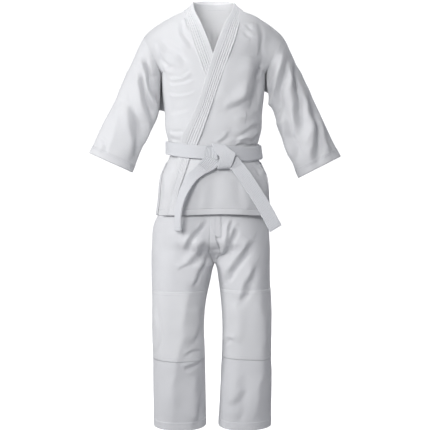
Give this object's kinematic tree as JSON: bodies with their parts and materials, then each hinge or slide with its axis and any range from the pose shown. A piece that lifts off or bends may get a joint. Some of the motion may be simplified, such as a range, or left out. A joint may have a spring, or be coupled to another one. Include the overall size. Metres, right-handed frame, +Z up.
{
  "type": "martial arts uniform",
  "caption": "White wrap-front jacket with a quilted band, knotted cloth belt and straight trousers with knee patches, shaped as worn.",
  "frame": {"origin": "middle of the wearer's waist at the height of the belt", "axes": "+Z up, -Y the front, +X the wearer's left"},
  "size_m": [0.8, 0.2939, 1.3652],
  "materials": {
    "jacket_cloth": "off-white cotton weave, matt",
    "band_cloth": "off-white twill, stitched through in rows",
    "lining_cloth": "off-white plain weave, matt",
    "trouser_cloth": "off-white twill, matt",
    "belt_cloth": "white cotton tape over a stiff core, stitched lengthwise"
  },
  "bodies": {
    "upper_body": {"jacket_front_left": "jacket_cloth", "jacket_front_right": "jacket_cloth", "jacket_back_left": "jacket_cloth", "jacket_back_right": "jacket_cloth", "jacket_band_left": "band_cloth", "jacket_band_right": "band_cloth", "yoke_lining": "lining_cloth", "belt_inner_wrap": "belt_cloth", "belt_outer_wrap": "belt_cloth", "knot_fold": "belt_cloth", "knot_loop": "belt_cloth", "knot_end_left": "belt_cloth", "knot_end_right": "belt_cloth", "waistband": "trouser_cloth", "drawstring_loop": "trouser_cloth", "trouser_front_left": "trouser_cloth", "trouser_front_right": "trouser_cloth", "trouser_back_left": "trouser_cloth", "trouser_back_right": "trouser_cloth", "crotch_gusset": "trouser_cloth"},
    "left_sleeve": {"sleeve_left": "jacket_cloth", "underarm_gusset_left": "jacket_cloth", "sleeve_hem_left": "jacket_cloth"},
    "right_sleeve": {"sleeve_right": "jacket_cloth", "underarm_gusset_right": "jacket_cloth", "sleeve_hem_right": "jacket_cloth"},
    "left_leg": {"leg_front_left": "trouser_cloth", "leg_back_left": "trouser_cloth", "knee_patch_left": "trouser_cloth", "leg_hem_left": "trouser_cloth"},
    "right_leg": {"leg_front_right": "trouser_cloth", "leg_back_right": "trouser_cloth", "knee_patch_right": "trouser_cloth", "leg_hem_right": "trouser_cloth"},
    "front_skirt": {"skirt_front_left": "jacket_cloth", "skirt_front_right": "jacket_cloth", "skirt_band_left": "band_cloth", "skirt_band_right": "band_cloth", "vent_patch_front_left": "lining_cloth", "vent_patch_front_right": "lining_cloth"},
    "back_skirt": {"skirt_back": "jacket_cloth", "vent_patch_back_left": "lining_cloth", "vent_patch_back_right": "lining_cloth"},
    "left_tail": {"belt_tail_left": "belt_cloth"},
    "right_tail": {"belt_tail_right": "belt_cloth"}
  },
  "joints": [
    {"name": "left_sleeve_raise", "type": "hinge", "parent": "upper_body", "child": "left_sleeve", "pos_m": [0.225, 0, 0.372], "axis": [0, -1, 0], "range_deg": [0, 40]},
    {"name": "right_sleeve_raise", "type": "hinge", "parent": "upper_body", "child": "right_sleeve", "pos_m": [-0.225, 0, 0.372], "axis": [0, 1, 0], "range_deg": [0, 40]},
    {"name": "left_leg_swing", "type": "hinge", "parent": "upper_body", "child": "left_leg", "pos_m": [0.1, 0.006, -0.435], "axis": [-1, 0, 0], "range_deg": [0, 40]},
    {"name": "right_leg_swing", "type": "hinge", "parent": "upper_body", "child": "right_leg", "pos_m": [-0.1, 0.006, -0.435], "axis": [-1, 0, 0], "range_deg": [0, 40]},
    {"name": "front_skirt_lift", "type": "hinge", "parent": "upper_body", "child": "front_skirt", "pos_m": [0, -0.112, -0.04], "axis": [-1, 0, 0], "range_deg": [0, 20]},
    {"name": "back_skirt_lift", "type": "hinge", "parent": "upper_body", "child": "back_skirt", "pos_m": [0, 0.085, -0.04], "axis": [1, 0, 0], "range_deg": [0, 20]},
    {"name": "left_tail_swing", "type": "hinge", "parent": "front_skirt", "child": "left_tail", "pos_m": [0.07, -0.1355, -0.06], "axis": [-1, 0, 0], "range_deg": [0, 60]},
    {"name": "right_tail_swing", "type": "hinge", "parent": "front_skirt", "child": "right_tail", "pos_m": [-0.015, -0.1355, -0.06], "axis": [-1, 0, 0], "range_deg": [0, 60]}
  ]
}
